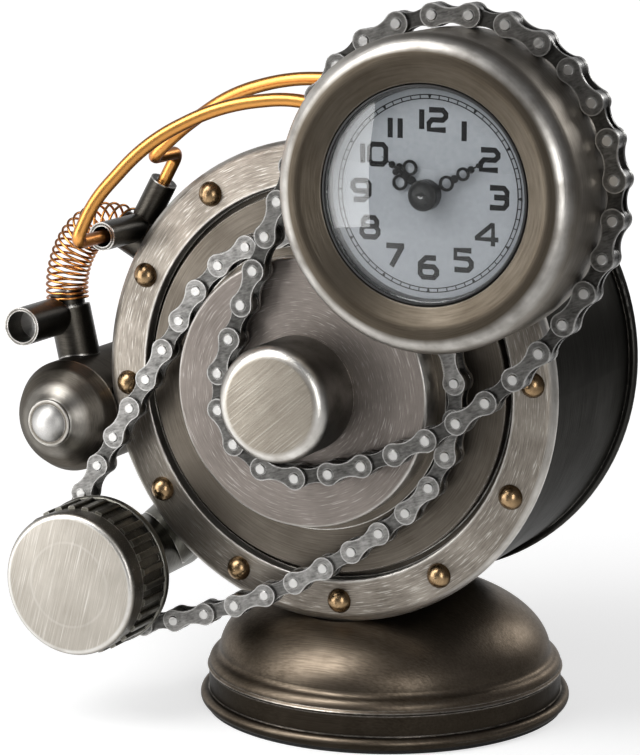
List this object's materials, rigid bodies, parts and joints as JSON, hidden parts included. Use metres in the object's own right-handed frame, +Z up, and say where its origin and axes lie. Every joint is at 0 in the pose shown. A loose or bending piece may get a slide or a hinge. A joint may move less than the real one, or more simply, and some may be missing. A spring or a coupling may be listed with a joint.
{
  "type": "table clock",
  "caption": "Free-standing table clock shaped like an old machine: riveted drum on a domed foot, round head with dial and hands, roller chains, copper spring and wires.",
  "frame": {"origin": "centre of the round foot, on the table", "axes": "+Z up; the dial faces -Y; +X to the right seen from the front"},
  "size_m": [0.2373, 0.163, 0.2559],
  "materials": {
    "bronze_paint": "antique bronze lacquer, rubbed bright on the beads",
    "felt": "black felt",
    "plain_steel": "plain steel",
    "dark_steel": "dark gunmetal lacquer, rubbed edges",
    "antique_steel": "antique pewter, brushed, bright worn edges",
    "antique_brass": "antique brass",
    "chain_steel": "steel, dark in the hollows, bright pin ends",
    "bright_steel": "polished",
    "copper": "bright copper",
    "cup_aluminium": "satin",
    "rubber": "black rubber",
    "glass": "clear",
    "dial_white": "satin silver-white paint, black print",
    "hand_black": "satin black",
    "cap_black": "gloss black",
    "case_plastic": "black plastic",
    "gear_brass": "cut brass",
    "board_green": "circuit board"
  },
  "bodies": {
    "frame": {"foot_shell": "bronze_paint", "foot_pad": "felt", "foot_plate": "plain_steel", "foot_stud": "plain_steel", "foot_nut": "plain_steel", "cover_screws": "plain_steel", "centre_bolt": "plain_steel", "head_back_plate": "plain_steel", "neck_screws": "plain_steel", "drum_shell": "dark_steel", "rear_cover": "dark_steel", "head_neck": "dark_steel", "idler_spindle": "dark_steel", "idler_arm": "dark_steel", "idler_pulley": "dark_steel", "bell_can": "dark_steel", "bell_front": "dark_steel", "lower_tube": "dark_steel", "cross_tube": "dark_steel", "upper_tube": "dark_steel", "front_socket": "dark_steel", "top_socket": "dark_steel", "ribbed_knob": "dark_steel", "front_flange": "antique_steel", "recess_plate": "antique_steel", "chain_pulley": "antique_steel", "centre_disc": "antique_steel", "centre_knob": "antique_steel", "head_can": "antique_steel", "idler_face": "antique_steel", "bell_boss": "antique_steel", "flange_rivets": "antique_brass", "head_chain_outer_links": "chain_steel", "head_chain_inner_links": "chain_steel", "head_chain_rollers": "chain_steel", "drum_chain_outer_links": "chain_steel", "drum_chain_inner_links": "chain_steel", "drum_chain_rollers": "chain_steel", "cross_tube_plug": "bright_steel", "copper_spring": "copper", "copper_wire_front": "copper", "copper_wire_rear": "copper"},
    "insert": {"insert_cup": "cup_aluminium", "insert_gasket": "rubber", "lens": "glass", "lens_ring": "case_plastic", "dial": "dial_white", "movement_case": "case_plastic", "movement_cover": "case_plastic", "battery": "bright_steel", "circuit_board": "board_green", "drive_coil": "copper"},
    "minute": {"minute_hand": "hand_black", "hand_cap": "cap_black", "cannon_pinion": "gear_brass"},
    "hour": {"hour_hand": "hand_black", "hour_wheel": "gear_brass"},
    "motion": {"minute_wheel": "gear_brass", "set_knob": "case_plastic"}
  },
  "joints": [
    {"name": "insert_slide", "type": "slide", "parent": "frame", "child": "insert", "axis": [0, -1, 0], "range_m": [0, 0.06]},
    {"name": "minute_turn", "type": "hinge", "parent": "insert", "child": "minute", "pos_m": [0.0532, -0.09, 0.197], "axis": [0, 1, 0], "continuous": true},
    {"name": "hour_turn", "type": "hinge", "parent": "insert", "child": "hour", "pos_m": [0.0532, -0.09, 0.197], "axis": [0, 1, 0], "continuous": true},
    {"name": "motion_turn", "type": "hinge", "parent": "insert", "child": "motion", "pos_m": [0.0532, -0.08, 0.185], "axis": [0, 1, 0], "continuous": true}
  ],
  "couplings": [
    {"joint": "hour_turn", "follows": "minute_turn", "ratio": 0.083333},
    {"joint": "motion_turn", "follows": "minute_turn", "ratio": -0.33333}
  ]
}
